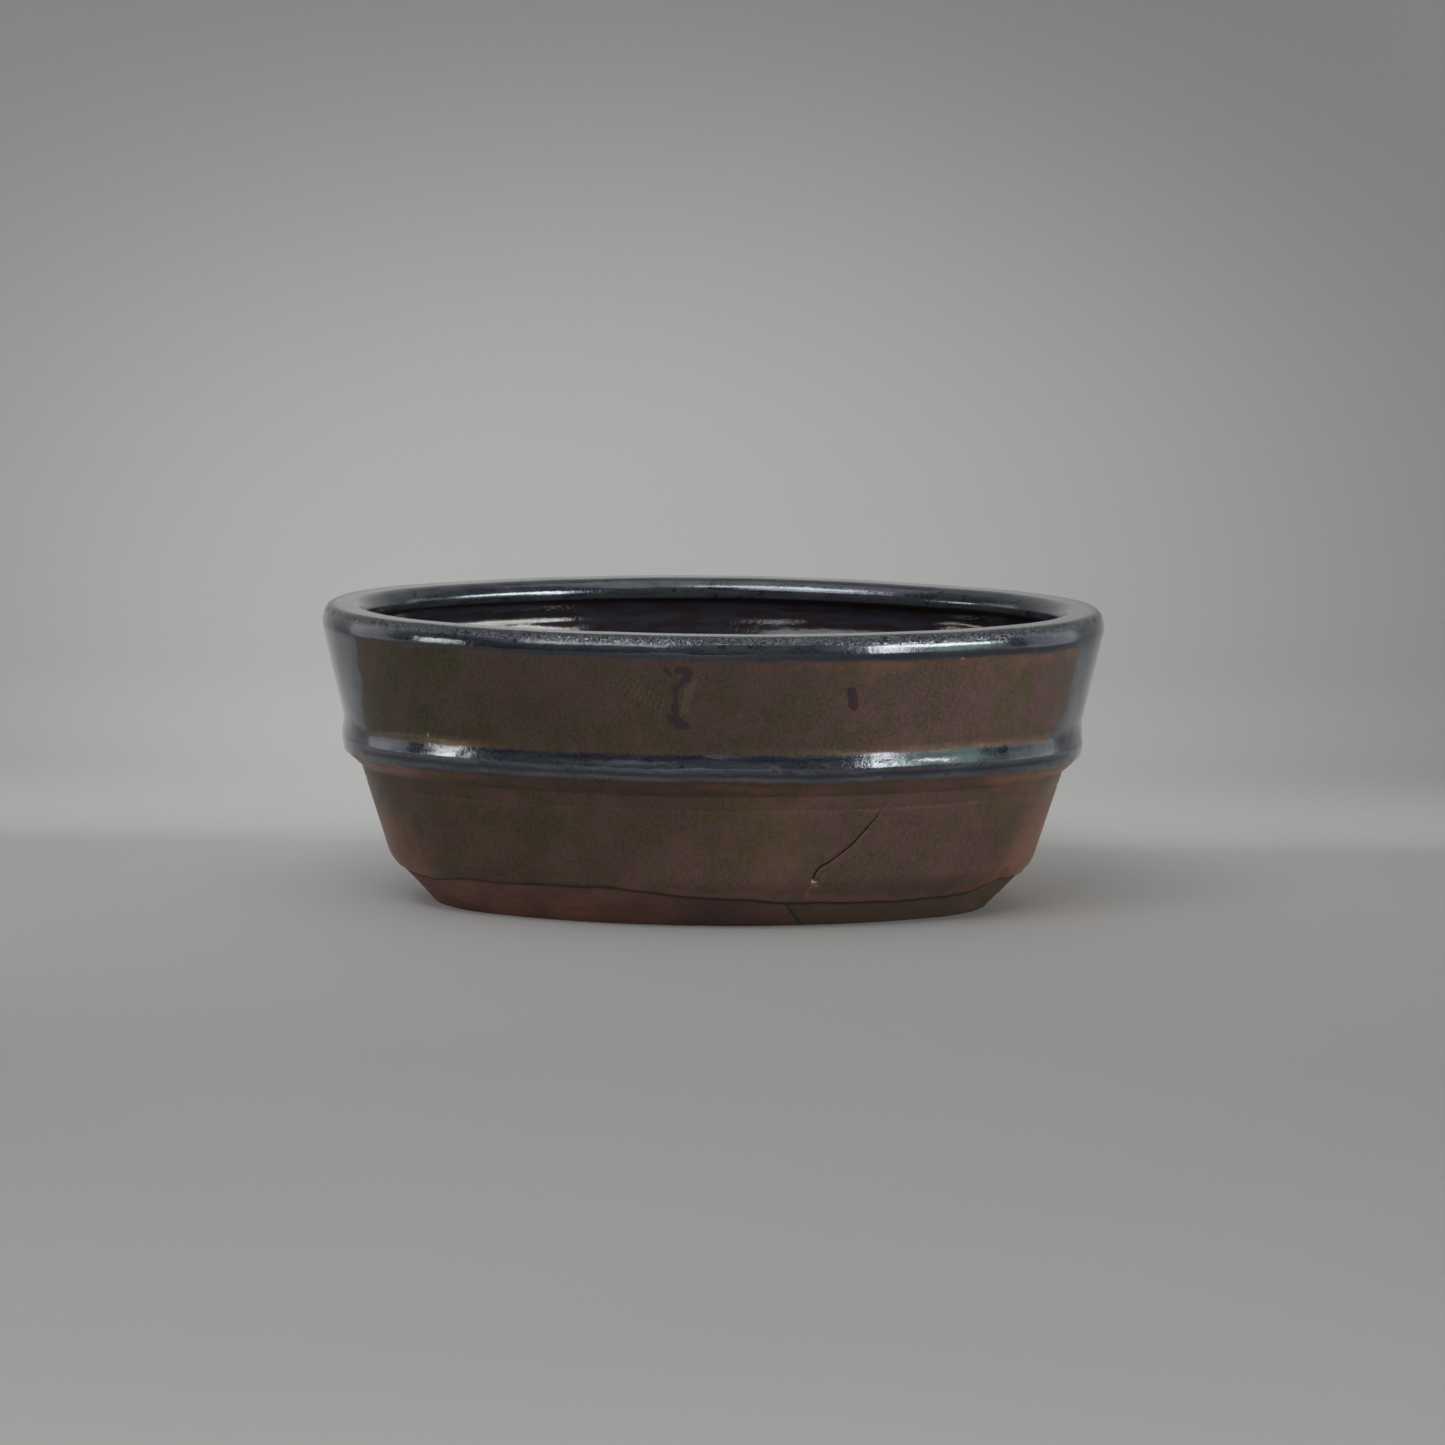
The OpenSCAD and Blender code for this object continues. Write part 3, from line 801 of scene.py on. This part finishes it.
# ---------------------------------------------------------------- upper wall
# The flared wall above the belt, joined to the lower one on a scored and slipped seam that
# the belt hides. Its glaze is thin and satin outside, and thick and glossy inside.
LIP_SEAM_OUTSIDE = (0.91, 70.0, 0)
LIP_SEAM_INSIDE = (7.35, 70.0, 0)
upper_outside = skin([BELT_NECK, LIP_SEAM_OUTSIDE], FRONT_STEP)
upper_inside = skin([LIP_SEAM_INSIDE, (7.5, 66.8, 6), (13.0, 48.5, 12), (15.86, 41.75, 20), INSIDE_JOINT],
                    INSIDE_STEP)
upper_wall = coil("upper_wall", [upper_outside, upper_inside], [[], [BEHIND_BELT, UNDER_NECK]],
                  glaze_relief, glaze_marks)
upper_wall.data.materials.append(glaze)
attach(upper_wall, "root")
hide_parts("upper_wall")

# ---------------------------------------------------------------- lip
# A thick flat-topped lip turned in over the wall. The glaze is thickest here, blue grey, and
# has boiled to a row of small pits along the outer top edge.
LIP_STEP = 0.36
lip_skin = skin([LIP_SEAM_OUTSIDE, (0.12, 73.34, 4), (0.35, 75.8, 5), (1.8, 78.0, 1.4), (9.3, 78.0, 3.0),
                 (11.2, 74.8, 3.2), (10.5, 73.0, 0.9), (7.2, 73.0, 1.4), LIP_SEAM_INSIDE], LIP_STEP)


def lip_relief(spot):
    """The lip's skin, with beads and pits along its outer top edge."""
    place = spot["place"]
    proud = glaze_relief(spot)
    edge = swell(spot["inset"] - 0.9, 0.9) * ease(spot["z"], 76.2, 77.2)
    beads = lattice(place, 1.4, 81)
    proud += edge * (0.17 * np.maximum(beads, 0) - 0.22 * np.maximum(-beads - 0.1, 0))
    proud += 0.06 * lattice(place * [0.2, 0.2, 1], 2.2, 82) * ease(spot["z"], 71, 74)
    return proud


rim_lip = coil("rim_lip", [lip_skin], [[]], lip_relief, glaze_marks)
rim_lip.data.materials.append(glaze)
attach(rim_lip, "root")
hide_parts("rim_lip")

# ---------------------------------------------------------------- drain screens
# A square of moulded plastic netting, cut from a sheet and laid over each drain hole to keep
# the soil in. Its bars are flat, with rounded edges.
NET_COLUMNS = 10
NET_ROWS = 9
NET_BAR = 1.0 * MM
NET_ROUNDING = 0.28 * MM

net_plastic, tree, shader, place = new_finish("screen plastic")
faded = rises(tree, grain(tree, place, 4, 21.0, detail=3), 0.35, 0.7)
colour = blend(tree, faded, (0.012, 0.014, 0.015), (0.022, 0.024, 0.025))
dust = rises(tree, grain(tree, place, 0.8, 22.0, detail=4), 0.55, 0.75)
colour = lay(tree, colour, dust, 0.35, (0.075, 0.062, 0.050))
tree.links.new(colour, shader.inputs["Base Color"])
tree.links.new(sums(tree, "ADD", 0.38, sums(tree, "MULTIPLY", dust, 0.3)), shader.inputs["Roughness"])
scuffs = node(tree, "Bump", {"Height": grain(tree, place, 0.3, 23.0, detail=3), "Distance": 0.00004})
tree.links.new(scuffs.outputs["Normal"], shader.inputs["Normal"])


def make_screen(side_name):
    """Netting for one hole, cut from the sheet to cover it."""
    low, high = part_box("drain_mesh_" + side_name)
    pitch = (high.x - low.x - NET_BAR) / NET_COLUMNS
    across = [low.x + i * pitch + k * NET_BAR for i in range(NET_COLUMNS + 1) for k in (0, 1)]
    along = [low.y + i * pitch + k * NET_BAR for i in range(NET_ROWS + 1) for k in (0, 1)]
    net = bmesh.new()
    spots = [[net.verts.new((x, y, low.z)) for y in along] for x in across]
    for i in range(len(across) - 1):
        for j in range(len(along) - 1):
            if i % 2 and j % 2:
                continue
            net.faces.new((spots[i][j], spots[i + 1][j], spots[i + 1][j + 1], spots[i][j + 1]))
    rise = high.z - low.z
    raised = bmesh.ops.extrude_face_region(net, geom=net.faces[:])
    for v in raised["geom"]:
        if isinstance(v, bmesh.types.BMVert):
            v.co.z += rise
    bmesh.ops.recalc_face_normals(net, faces=net.faces)
    mesh = bpy.data.meshes.new("drain_screen_" + side_name)
    net.to_mesh(mesh)
    net.free()
    made = bpy.data.objects.new("drain_screen_" + side_name, mesh)
    bpy.context.scene.collection.objects.link(made)
    rounding = made.modifiers.new("rounding", "BEVEL")
    rounding.width = NET_ROUNDING
    rounding.segments = 2
    rounding.limit_method = "ANGLE"
    bpy.context.view_layer.update()
    depsgraph = bpy.context.evaluated_depsgraph_get()
    finished = bpy.data.meshes.new_from_object(made.evaluated_get(depsgraph))
    made.modifiers.clear()
    made.data = finished
    finished.polygons.foreach_set("use_smooth", [True] * len(finished.polygons))
    finished.materials.append(net_plastic)
    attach(made, "root")
    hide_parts("drain_mesh_" + side_name)


make_screen("left")
make_screen("right")

# ---------------------------------------------------------------- wire clips
# Each screen is held by one length of aluminium wire, bent by hand to two loops that lie on
# the netting and two legs that go down through the hole and out under the floor.
WIRE_RADIUS = 0.75
LEG_X = 8.5
LOOP_RADIUS = 4.0
LEG_BEND = 1.2
FOOT_BEND = 1.5
FOOT_REACH = 10.0
CLIP_TOP = 13.3
CLIP_FOOT = 3.2
WIRE_SIDES = 16
SNIPPED = 0.72

wire_metal, tree, shader, place = new_finish("clip wire")
dulled = rises(tree, grain(tree, place, 2.5, 31.0, detail=4), 0.3, 0.75)
colour = blend(tree, dulled, (0.62, 0.62, 0.63), (0.40, 0.40, 0.41))
tree.links.new(colour, shader.inputs["Base Color"])
shader.inputs["Metallic"].default_value = 1.0
tree.links.new(sums(tree, "ADD", 0.28, sums(tree, "MULTIPLY", dulled, 0.22)), shader.inputs["Roughness"])
drawn = node(tree, "Bump", {"Height": grain(tree, place, 0.25, 32.0, detail=3), "Distance": 0.00002})
tree.links.new(drawn.outputs["Normal"], shader.inputs["Normal"])


def half_clip():
    """The wire's middle line from the middle of the bar, round one loop and down to its foot."""
    loop_x = LEG_X + LOOP_RADIUS
    bar_y = LEG_BEND - LOOP_RADIUS
    line = [(0.0, bar_y, CLIP_TOP), (loop_x * 0.5, bar_y, CLIP_TOP)]
    for a in np.radians(np.arange(-90, 181, 10)):
        line.append((loop_x + LOOP_RADIUS * math.cos(a), LEG_BEND + LOOP_RADIUS * math.sin(a), CLIP_TOP))
    for a in np.radians(np.arange(15, 91, 15)):
        line.append((LEG_X, LEG_BEND * (1 - math.sin(a)), CLIP_TOP - LEG_BEND * (1 - math.cos(a))))
    for z in np.linspace(CLIP_TOP - LEG_BEND, CLIP_FOOT + FOOT_BEND, 6)[1:]:
        line.append((LEG_X, 0.0, z))
    for a in np.radians(np.arange(15, 91, 15)):
        line.append((LEG_X + FOOT_BEND * (1 - math.cos(a)), 0.0, CLIP_FOOT + FOOT_BEND * (1 - math.sin(a))))
    for x in np.linspace(LEG_X + FOOT_BEND, LEG_X + FOOT_REACH, 5)[1:]:
        line.append((x, 0.0, CLIP_FOOT))
    return line


def make_clip(side_name, side):
    """The bent wire, swept as a round tube with snipped ends."""
    half = half_clip()
    line = np.array([(-x, y, z) for x, y, z in reversed(half[1:])] + half)
    ahead = np.gradient(line, axis=0)
    ahead /= np.linalg.norm(ahead, axis=1)[:, None]
    across = np.array([0.0, 1.0, 0.0])
    points, faces = [], []
    for i, (at, way) in enumerate(zip(line, ahead)):
        across = across - way * (across @ way)
        across /= np.linalg.norm(across)
        over = np.cross(way, across)
        thin = SNIPPED if i in (0, len(line) - 1) else 1.0
        for k in range(WIRE_SIDES):
            a = 2 * math.pi * k / WIRE_SIDES
            points.append(at + WIRE_RADIUS * thin * (across * math.cos(a) + over * math.sin(a)))
    last = (len(line) - 1) * WIRE_SIDES
    for ring in range(0, last, WIRE_SIDES):
        for k in range(WIRE_SIDES):
            a = ring + k
            b = ring + (k + 1) % WIRE_SIDES
            faces.append((a, b, b + WIRE_SIDES, a + WIRE_SIDES))
    faces.append(tuple(reversed(range(WIRE_SIDES))))
    faces.append(tuple(range(last, last + WIRE_SIDES)))
    points = np.array(points) + [side * DRAIN_X, 0, 0]
    smooth = [True] * (len(faces) - 2) + [False, False]
    made = make_mesh("wire_clip_" + side_name, points, faces, smooth)
    made.data.materials.append(wire_metal)
    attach(made, "root")
    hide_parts("mesh_clip_" + side_name)


make_clip("left", -1)
make_clip("right", 1)

# ---------------------------------------------------------------- table and backdrop
# A sheet of plain pale paper that the pot stands on, swept up into a wall close behind it. A
# pool of light is painted on it: palest just behind the pot and painted darker away from there.
# It can be seen through from the back.
POOL_OF_LIGHT_AT = (-0.028, 0.1, 0.065)
POOL_FALLOFF = (0.95, 0.45, 1.4)

paper, tree, shader, place = new_finish("backdrop paper")
shade = rises(tree, grain(tree, place, 420, 41.0, detail=2), 0.3, 0.7)
colour = blend(tree, shade, (0.50, 0.50, 0.485), (0.53, 0.53, 0.52))
# Painted pool of light: the paper is darkened with distance from a spot just behind the pot, less on the
# table than on the wall.
painted_falloff = node(tree, "VectorMath", {0: place, 1: POOL_OF_LIGHT_AT}, operation="SUBTRACT").outputs[0]
painted_falloff = node(tree, "VectorMath", {0: painted_falloff, 1: POOL_FALLOFF}, operation="MULTIPLY").outputs[0]
painted_falloff = node(tree, "VectorMath", {0: painted_falloff}, operation="LENGTH").outputs["Value"]
height = node(tree, "SeparateXYZ", {"Vector": place}).outputs["Z"]
upright = sums(tree, "ADD", 0.30, sums(tree, "MULTIPLY", rises(tree, height, 0.0, 0.02), 0.70))
painted_falloff = sums(tree, "MULTIPLY", rises(tree, painted_falloff, 0.02, 0.30), upright)
colour = blend(tree, painted_falloff, colour, (0.22, 0.22, 0.217))
from_behind = node(tree, "NewGeometry").outputs["Backfacing"]
see_through = node(tree, "BsdfTransparent").outputs[0]
one_sided = node(tree, "MixShader", {0: from_behind, 1: shader.outputs[0], 2: see_through})
tree.links.new(one_sided.outputs[0], tree.nodes["Material Output"].inputs["Surface"])
tree.links.new(colour, shader.inputs["Base Color"])
shader.inputs["Roughness"].default_value = 0.75
fibre = node(tree, "Bump", {"Height": grain(tree, place, 0.8, 42.0, detail=3), "Distance": 0.00005})
tree.links.new(fibre.outputs["Normal"], shader.inputs["Normal"])

WALL_Y = 150.0
WALL_TOP = 1600.0
SWEEP_RADIUS = 45.0
PAPER_FRONT = -2600.0
PAPER_HALF_WIDTH = 2200.0
sweep_start = WALL_Y - SWEEP_RADIUS
paper_line = [(PAPER_FRONT, 0.0), (sweep_start, 0.0)]
for a in np.radians(np.arange(7.5, 90, 7.5)):
    paper_line.append((sweep_start + SWEEP_RADIUS * math.sin(a), SWEEP_RADIUS * (1 - math.cos(a))))
paper_line += [(WALL_Y, SWEEP_RADIUS), (WALL_Y, WALL_TOP)]
paper_sides = (-PAPER_HALF_WIDTH, PAPER_HALF_WIDTH)
paper_points = np.array([(x, y, z) for y, z in paper_line for x in paper_sides])
paper_faces = [(2 * i, 2 * i + 1, 2 * i + 3, 2 * i + 2) for i in range(len(paper_line) - 1)]
backdrop = make_mesh("backdrop", paper_points, paper_faces, np.ones(len(paper_faces), bool))
backdrop.data.materials.append(paper)

# ---------------------------------------------------------------- light and camera
# Windows at the right and the left of the front and a pale card close to each end of the pot
# make the reflections in the glaze, and light only the pot. A wide soft light overhead and one
# above the front light everything. The backdrop has lights of its own, so it stays evenly lit.
AIMED_AT = Vector((0, 0, 0.04))


def aim_light(stand, way):
    """Turns a light to face that way."""
    stand.rotation_euler = way.to_track_quat("-Z", "Y").to_euler()


def soft_light(name, azimuth, elevation, distance, width, height, watts, colour=(1, 1, 1)):
    """A soft box that far from the pot, so many degrees to the right of the front and up."""
    lamp = bpy.data.lights.new(name, "AREA")
    lamp.shape = "RECTANGLE"
    lamp.size = width
    lamp.size_y = height
    lamp.energy = watts
    lamp.color = colour
    stand = bpy.data.objects.new(name, lamp)
    a, e = math.radians(azimuth), math.radians(elevation)
    stand.location = AIMED_AT + distance * Vector((math.sin(a) * math.cos(e),
                                                   -math.cos(a) * math.cos(e), math.sin(e)))
    aim_light(stand, AIMED_AT - stand.location)
    bpy.context.scene.collection.objects.link(stand)
    return stand


def light_only(receivers, name, lights):
    """Keeps those lights to the pieces given."""
    lit = bpy.data.collections.new(name)
    for piece in receivers:
        lit.objects.link(piece)
    for lamp in lights:
        lamp.light_linking.receiver_collection = lit
    return lit


pot_lights = [soft_light("window_right_post", 42, 12, 1.5, 0.20, 0.60, 3.4),
              soft_light("window_right_sky", 58, 18, 1.5, 0.64, 0.32, 5.8, (1.0, 0.99, 0.96)),
              soft_light("window_right_garden", 58, 4, 1.5, 0.64, 0.34, 0.9, (0.72, 1.0, 0.78)),
              soft_light("card_right", 97, 6, 0.39, 0.24, 0.3, 0.145, (0.93, 0.91, 1.0)),
              soft_light("window_left", -30, 36, 1.6, 0.9, 0.62, 5.0),
              soft_light("window_far_left", -68, 3, 1.5, 0.20, 0.30, 1.6, (1.0, 0.97, 0.90)),
              soft_light("card_left", -97, 6, 0.39, 0.20, 0.3, 0.13)]
soft_light("overhead", -12, 74, 1.5, 1.9, 1.4, 5.4)
soft_light("front_fill", -22, 50, 1.7, 1.1, 0.35, 6.0)
paper_lights = [soft_light("backdrop_glow", -8, 8, 1.7, 0.9, 0.5, 11.2),
                soft_light("floor_glow", 0, 62, 1.6, 1.4, 0.9, 2.3)]
for side in (-1, 1):
    paper_lights.append(soft_light("wing_glow", side * 65, 15, 0.75, 0.3, 0.3, 1.6))
    aim_light(paper_lights[-1], Vector((side * 0.2, 1, -0.3)))
paper_only = light_only([backdrop], "paper_only", paper_lights)
for lamp in paper_lights:
    lamp.light_linking.blocker_collection = paper_only
pot_pieces = [piece for piece in bpy.context.scene.objects if piece.type == "MESH" and piece != backdrop]
light_only(pot_pieces, "pot_pieces", pot_lights)

world = bpy.data.worlds.new("room")
bpy.context.scene.world = world
world.use_nodes = True
daylight = world.node_tree.nodes["Background"]
daylight.inputs["Color"].default_value = (0.70, 0.80, 1.0, 1)
daylight.inputs["Strength"].default_value = 0.035

PIVOT = Vector((0, 0, 0.039))
CAMERA_DISTANCE = 2.25
CAMERA_RISE = math.radians(7.1)
CAMERA_ROLL = math.radians(0.6)
LOOKS_AT = Vector((0.0027, 0, 0.0473))
camera_data = bpy.data.cameras.new("camera")
camera_data.sensor_width = 36
camera_data.lens = 213
camera_data.clip_end = 20
camera = bpy.data.objects.new("camera", camera_data)
camera.location = PIVOT + CAMERA_DISTANCE * Vector((0, -math.cos(CAMERA_RISE), math.sin(CAMERA_RISE)))
camera.rotation_euler = (LOOKS_AT - camera.location).to_track_quat("-Z", "Y").to_euler()
camera.rotation_euler.rotate_axis("Z", CAMERA_ROLL)
bpy.context.scene.collection.objects.link(camera)
bpy.context.scene.camera = camera
bpy.context.scene.view_settings.view_transform = "Standard"
